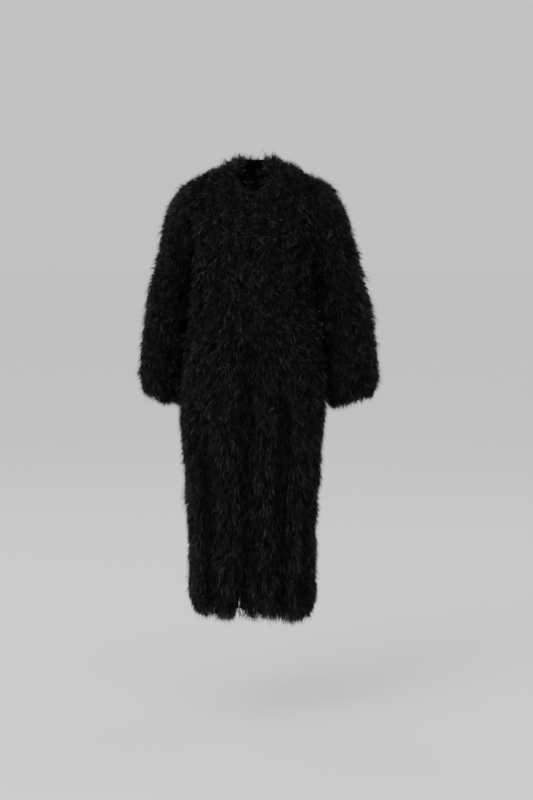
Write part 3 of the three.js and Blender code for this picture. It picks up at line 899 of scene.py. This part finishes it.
def sleeve_down(name):
    """Plumes of one sleeve. The tips lie a little deeper on the outer side of the upper sleeve, and
    a little higher on the side towards the body."""
    surface, side, end = sleeve_surface(name), SLEEVES[name][0], sleeve_v[-1]
    even_u, even_v = scatter(surface, SLEEVE_AREA, (0, 2 * np.pi), (FIRST_ROOT_V, end - LAST_ROOT_UP))
    cuff_u = np.tile(np.linspace(0, 2 * np.pi, CUFF_ROW_PLUMES, endpoint=False), len(CUFF_ROWS_UP))
    u = np.concatenate([even_u, cuff_u])
    v = np.concatenate([even_v, np.repeat(end - np.array(CUFF_ROWS_UP), CUFF_ROW_PLUMES)])
    sewn = sleeve_belongs(surface(u, v), ROOTS_INTO_BODY, ROOTS_BEFORE_SEAM)
    u, v = u[sewn], v[sewn]
    inner = body_side(u)
    upper = np.exp(-(((surface(u, v)[:, 2] - UPPER_SLEEVE_Z) / UPPER_SLEEVE_HALF) ** 2))
    root, bend, tip, normal = lay(
        surface, u, v, rng, turn=-side, radius=SLEEVE_RADIUS, flow=np.ones(len(u)),
        limits=(SLEEVE_START_V, end - TIPS_UP), depth=SLEEVE_PILE - SLEEVE_PILE_LESS_INSIDE * inner,
        length=SLEEVE_LENGTH - SHORTER_INSIDE * inner, loose=SLEEVE_LOOSE,
        inset=-RAISED_INSIDE * inner + SUNK_ON_UPPER * upper * (1 - inner), aside=0,
        past=STRAIGHT_ON_AT_CUFF, brick=CURLY_BRICK)
    curl, shade = np.full(len(u), SLEEVE_CURL), np.full(len(u), SLEEVE_SHADE)
    return dict(root=root, bend=bend, tip=tip, normal=normal, curl=curl, shade=shade)


sleeve_plumes = {name: sleeve_down(name) for name in SLEEVES}
print({name: len(plumes["root"]) for name, plumes in sleeve_plumes.items()})

# %% [markdown]
# ## One plume
#
# A marabou plume has a thin soft shaft and many long, loose barbs that leave it on all sides.
# Eighteen barbs are enough for the eye: each is a ribbon about a millimetre wide that bends once and
# ends in a point. They start all along the shaft and lean forward, and a third of them fly away from
# the cloth, so that a plume looks like a soft flame, and many plumes together look like smoke. Hair curves
# would do it too, but ribbons are real faces, which every other program can read.

# %% The line of each barb
BARBS = 18
BARB_LENGTH = 0.026
BARB_SIZES = 0.6, 1.45
SIZE_AT_ROOT, LESS_AT_TIP = 1.15, 0.35
LAST_START = 0.95
LOOK_AHEAD = 0.1
AWAY_FROM_CLOTH = 0.35
SPREAD, MORE_SPREAD_IF_CURLY = 0.40, 0.50
HEADING_NOISE, END_NOISE = 0.18, 0.25
FLY_ABOVE, FLY, FLY_SPREAD = 0.66, 1.25, 0.5
BACK_TO_FORWARD = 0.5
HIGHEST_END = 0.015
LOWER_IN_FRONT = 0.25
NOISE_SHIFT = 0.3


def barb_lines(root, bend, tip, normal, curl, rng):
    """Start, middle, end and width direction of all barbs, and where on the shaft they start.
    A barb heads for forward + (0.4 + curl/2) radial + noise, or away from the cloth if it flies,
    and its second half turns back to forward. Its end is held down to a height over the tip."""
    each = len(root), BARBS
    root, bend, tip, normal = (x[:, None] for x in (root, bend, tip, normal))
    curl = curl[:, None, None]
    s = ((np.arange(BARBS) + rng.uniform(0, 1, each)) / BARBS)[..., None] * LAST_START
    start = bezier(root, bend, tip, s)
    forward = unit(bezier(root, bend, tip, s + LOOK_AHEAD) - start)
    loose = unit(rng.normal(0, 1, (*each, 3)))
    sideways = loose - (loose * forward).sum(-1, keepdims=True) * forward
    radial = unit(sideways + AWAY_FROM_CLOTH * normal)
    half = 0.5 * BARB_LENGTH * rng.uniform(*BARB_SIZES, (*each, 1)) * (SIZE_AT_ROOT - LESS_AT_TIP * s)
    noise = rng.normal(0, 1, (2, *each, 3))
    spread = SPREAD + MORE_SPREAD_IF_CURLY * curl
    heading = unit(forward + spread * radial + HEADING_NOISE * curl * noise[0])
    fly = (rng.uniform(0, 1, (*each, 1)) > FLY_ABOVE) * FLY
    heading = unit(heading + fly * (normal + FLY_SPREAD * radial))
    middle = start + heading * half
    end = middle + unit(heading + BACK_TO_FORWARD * forward + END_NOISE * curl * noise[1]) * half
    above = ((end - tip) * normal).sum(-1, keepdims=True)
    highest = HIGHEST_END * (1 - LOWER_IN_FRONT * np.abs(normal[..., 1:2]))
    end = end - normal * np.maximum(above - highest, 0)
    return start, middle, end, unit(np.cross(heading, noise[0] + NOISE_SHIFT)), s


print("barb", BARB_LENGTH, "m long")

# %% [markdown]
# ### From barbs to faces
#
# The barbs make more than half a million faces, too many to add one by one. So all points, and the
# list that joins them, are built as whole arrays and handed to Blender at once. Each point also gets
# two numbers for the finish: how far along the barb it lies, and its tone, into which a painted
# highlight and painted shade are mixed.

# %% Barbs as ribbons of one mesh
BARB_WIDTH = 0.0010
START_WIDTH, MIDDLE_WIDTH, WIDER_IF_BRIGHT = 0.8, 0.8, 0.8
BRIGHT_POWER = 5
# the tone of each plume differs at random; PAINTED_HIGHLIGHT is a painted highlight, a lighter colour for
# the few bright barbs, as if they turned to the light and shone
TONE_OF_PLUME, PAINTED_HIGHLIGHT = 0.25, 2.1
ALONG_SHAFT, ALONG_BARB = 0.6, 0.4
POINT_ALONG_BARB = np.array([0, 0, 0.5, 0.5, 1.0])
BARB_FACES = np.array([0, 1, 3, 2, 2, 3, 4])
BARB_FACE_STARTS = np.array([0, 4])


def point_attribute(mesh, label, values):
    """One number for each point, which a material can read by its label."""
    mesh.attributes.new(label, "FLOAT", "POINT").data.foreach_set("value", values.astype(np.float32))


def plume_mesh(name, root, bend, tip, normal, curl, shade, seed):
    """All plumes of one piece: 5 points for each barb, a quad and then a triangle.
    A few barbs are wide and get a painted highlight: bright = U⁵, where U is even from 0 to 1."""
    rng = np.random.default_rng(seed)
    start, middle, end, across, s = barb_lines(root, bend, tip, normal, curl, rng)
    bright = rng.uniform(0, 1, (len(root), BARBS)) ** BRIGHT_POWER
    side = across * (0.5 * BARB_WIDTH * (MIDDLE_WIDTH + WIDER_IF_BRIGHT * bright))[..., None]
    start_side = side * START_WIDTH
    five = [start - start_side, start + start_side, middle - side, middle + side, end]
    points = np.stack(five, 2).reshape(-1, 3)
    barb = np.arange(bright.size)[:, None]
    loops = (barb * len(five) + BARB_FACES).ravel()
    starts = (barb * len(BARB_FACES) + BARB_FACE_STARTS).ravel()
    mesh = bpy.data.meshes.new(name)
    mesh.vertices.add(len(points))
    mesh.loops.add(len(loops))
    mesh.polygons.add(len(starts))
    mesh.vertices.foreach_set("co", points.astype(np.float32).ravel())
    mesh.loops.foreach_set("vertex_index", loops.astype(np.int32))
    mesh.polygons.foreach_set("loop_start", starts.astype(np.int32))
    mesh.polygons.foreach_set("use_smooth", np.ones(len(starts), bool))
    mesh.update(calc_edges=True)
    of_plume = TONE_OF_PLUME * rng.uniform(0, 1, (len(root), 1))
    # random tone of each plume, plus a painted highlight on the bright barbs, times the painted shade of
    # channels and sleeves
    tone_and_painted_light = (of_plume + PAINTED_HIGHLIGHT * bright) * shade[:, None]
    point_attribute(mesh, "along", (ALONG_SHAFT * s + ALONG_BARB * POINT_ALONG_BARB).ravel())
    point_attribute(mesh, "tone_and_painted_light", np.repeat(tone_and_painted_light.ravel(), len(five)))
    obj = bpy.data.objects.new(name, mesh)
    bpy.context.scene.collection.objects.link(obj)
    return obj


print("barb", BARB_WIDTH, "m wide")

# %% [markdown]
# ### Plumes sorted to their pieces
#
# A maker covers each cut piece with plumes before the pieces are joined. So a plume belongs to the
# piece that its root is sewn to, and each piece gets a mesh of its own. The back has two, an upper
# and a lower one, which keeps every mesh under two hundred thousand triangles.

# %% Plumes on each piece of cloth
UPPER_BACK_Z = -0.62
BODY_SEED, SLEEVE_SEED = 11, 31
BAND_SHARE = 0.8

root = body_plumes["root"]
banded = in_band(root + (body_plumes["bend"] - root) * BAND_SHARE) & (root[:, 2] > SHOULDER_ABOVE_Z)
behind = ~banded & (root[:, 1] > SIDE_SEAM_Y)
before = ~banded & ~behind
left_of_line = root[:, 0] > front_line_x(root[:, 2])
upper = root[:, 2] > UPPER_BACK_Z
groups = {
    "feathers_front_right": ("front_right", before & ~left_of_line),
    "feathers_front_left": ("front_left", before & left_of_line),
    "feathers_back_upper": ("back", behind & upper),
    "feathers_back_skirt": ("back", behind & ~upper),
    "feathers_neck_band": ("neck_band", banded),
}
plumes_on = {node: [] for node in cloth}
for seed, (label, (node, mask)) in enumerate(groups.items(), BODY_SEED):
    chosen = {key: value[mask] for key, value in body_plumes.items()}
    plumes_on[node].append(plume_mesh(label, **chosen, seed=seed))
for seed, name in enumerate(SLEEVES, SLEEVE_SEED):
    plumes_on[name].append(plume_mesh("feathers_" + name, **sleeve_plumes[name], seed=seed))
for obj in sum(plumes_on.values(), []):
    print(obj.name, len(obj.data.polygons) // (2 * BARBS), "plumes")

# %% [markdown]
# ## Black down and black silk
#
# Dyed down is a deep black. Light passes a little through the thin ends, so they look greyer than
# the roots; here that greyness is painted into the colour. Here and there a barb turns its side to the
# light and shines; that is a painted highlight. Plumes in the channels and on the sleeves get painted
# shade. All of it is painted from the two numbers that each point of a barb carries, so the material
# needs no picture.

# %% Finish of the down: painted greyer ends, painted highlights and painted shade
down, shader = principled("down", (0.006, 0.005, 0.006), 0.52, sheen=0.03)
shader.inputs["Sheen Roughness"].default_value = 0.4
shader.inputs["Sheen Tint"].default_value = (0.42, 0.38, 0.40, 1)
shader.inputs["Specular IOR Level"].default_value = 0.13
nodes, links = down.node_tree.nodes, down.node_tree.links
along = nodes.new("ShaderNodeAttribute")
along.attribute_name = "along"
tone_and_painted_light = nodes.new("ShaderNodeAttribute")
tone_and_painted_light.attribute_name = "tone_and_painted_light"
# painted light: the ramp makes the thin ends greyer than the roots, standing in for light that passes
# through them
root_to_tip = nodes.new("ShaderNodeValToRGB")
root_to_tip.color_ramp.elements[0].position = 0.35
root_to_tip.color_ramp.elements[0].color = (0.0006, 0.0006, 0.0007, 1)
root_to_tip.color_ramp.elements[1].position = 1.0
root_to_tip.color_ramp.elements[1].color = (0.034, 0.033, 0.0345, 1)
# the colour is multiplied by the tone, which carries random tone, painted highlights and painted shade
toned_and_painted = nodes.new("ShaderNodeMix")
toned_and_painted.data_type = "RGBA"
toned_and_painted.blend_type = "MULTIPLY"
# a Mix node for colours has its factor at input 0, its colours at 6 and 7, its result at output 2
toned_and_painted.inputs[0].default_value = 0.9
links.new(along.outputs["Fac"], root_to_tip.inputs["Fac"])
links.new(root_to_tip.outputs["Color"], toned_and_painted.inputs[6])
links.new(tone_and_painted_light.outputs["Fac"], toned_and_painted.inputs[7])
links.new(toned_and_painted.outputs[2], shader.inputs["Base Color"])
print("down finish", down.name)

# %% [markdown]
# ### The silk
#
# The silk under the down is plain, and blacker than the down, so that no cloth shines through. Its
# fine weave only shows inside the coat. A wave texture stands for the threads, and bump lets them
# bend the light without changing the shape.

# %% Finish of the ground cloth
silk, shader = principled("ground_cloth", (0.0025, 0.0025, 0.003), 0.85)
shader.inputs["Specular IOR Level"].default_value = 0.15
nodes, links = silk.node_tree.nodes, silk.node_tree.links
place = nodes.new("ShaderNodeTexCoord")
weave = nodes.new("ShaderNodeTexWave")
weave.wave_type = "BANDS"
weave.bands_direction = "Z"
weave.inputs["Scale"].default_value = 400
bump = nodes.new("ShaderNodeBump")
bump.inputs["Strength"].default_value = 0.15
bump.inputs["Distance"].default_value = 0.0004
links.new(place.outputs["Object"], weave.inputs["Vector"])
links.new(weave.outputs["Fac"], bump.inputs["Height"])
links.new(bump.outputs["Normal"], shader.inputs["Normal"])
print("cloth finish", silk.name)

# %% [markdown]
# ## Sewing the coat together
#
# Each piece of cloth stands for one piece of the fixed frame and carries its own plumes.
# The cut is given for each: the size of the flat piece before it hung on the body.

# %% Pieces ride on the frame
for node, piece in cloth.items():
    piece.data.materials.append(silk)
    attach(piece, "root")
    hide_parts(node)
    for plumes in plumes_on[node]:
        plumes.data.materials.append(down)
        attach(plumes, "root")
print("riding", len(cloth), "pieces of cloth")

# %% The cut of each piece
CUT = {
    # width, length, area
    "front_right": (0.31, 1.26, 0.33),
    "front_left": (0.31, 1.26, 0.33),
    "back": (0.52, 1.28, 0.55),
    "neck_band": (0.42, 0.045, 0.013),
    "sleeve_right": (0.46, 0.66, 0.22),
    "sleeve_left": (0.48, 0.66, 0.23),
}
for node, piece in cloth.items():
    width, long, area = CUT[node]
    print(node, "cut", width, "x", long, "m")
